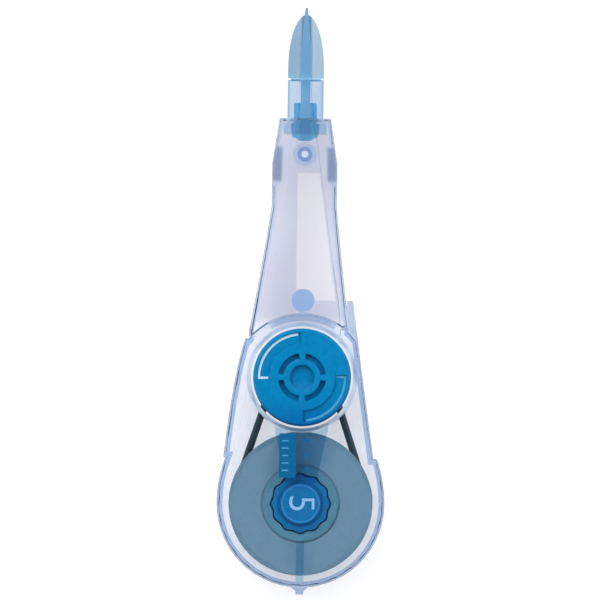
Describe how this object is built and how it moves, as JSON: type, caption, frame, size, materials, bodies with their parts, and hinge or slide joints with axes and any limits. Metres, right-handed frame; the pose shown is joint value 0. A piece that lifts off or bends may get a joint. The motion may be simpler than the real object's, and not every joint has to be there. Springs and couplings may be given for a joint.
{
  "type": "correction tape roller",
  "caption": "Clear teardrop correction tape roller with a leaf-shaped transfer head, supply and take-up reels and a rubber drive belt.",
  "frame": {"origin": "under the middle of the roller's length and width, on the plane of the case's back face", "axes": "+Z along the reel axes towards the front plate, +Y from the tail to the tip, +X to the right with the tip upwards"},
  "size_m": [0.0314, 0.11, 0.0128],
  "materials": {
    "clear_case": "clear pale blue moulded styrene",
    "clear_sleeve": "clear pale blue moulded styrene",
    "head_blue": "translucent blue moulded plastic",
    "reel_blue": "satin moulded plastic",
    "core_grey": "matt moulded plastic",
    "tape_roll": "edge of wound coated film",
    "coated_tape": "white coated film",
    "bare_liner": "smooth bare liner",
    "belt_rubber": "smooth rubber cord"
  },
  "bodies": {
    "case": {"rear_shell": "clear_case", "front_shell": "clear_case", "head_sleeve": "clear_sleeve", "transfer_head": "head_blue", "drive_belt": "belt_rubber", "coated_tape": "coated_tape", "spent_liner": "bare_liner"},
    "supply_reel": {"supply_pulley": "reel_blue", "tape_core": "core_grey", "supply_roll": "tape_roll", "hub_cap": "reel_blue"},
    "takeup_reel": {"takeup_spool": "reel_blue", "takeup_disc": "reel_blue", "spent_roll": "bare_liner"}
  },
  "joints": [
    {"name": "supply_spin", "type": "hinge", "parent": "case", "child": "supply_reel", "pos_m": [0, -0.038, 0.0069], "axis": [0, 0, 1], "continuous": true},
    {"name": "takeup_spin", "type": "hinge", "parent": "case", "child": "takeup_reel", "pos_m": [0, -0.0144, 0.0069], "axis": [0, 0, 1], "continuous": true}
  ],
  "couplings": [
    {"joint": "takeup_spin", "follows": "supply_spin", "ratio": 2.501}
  ]
}
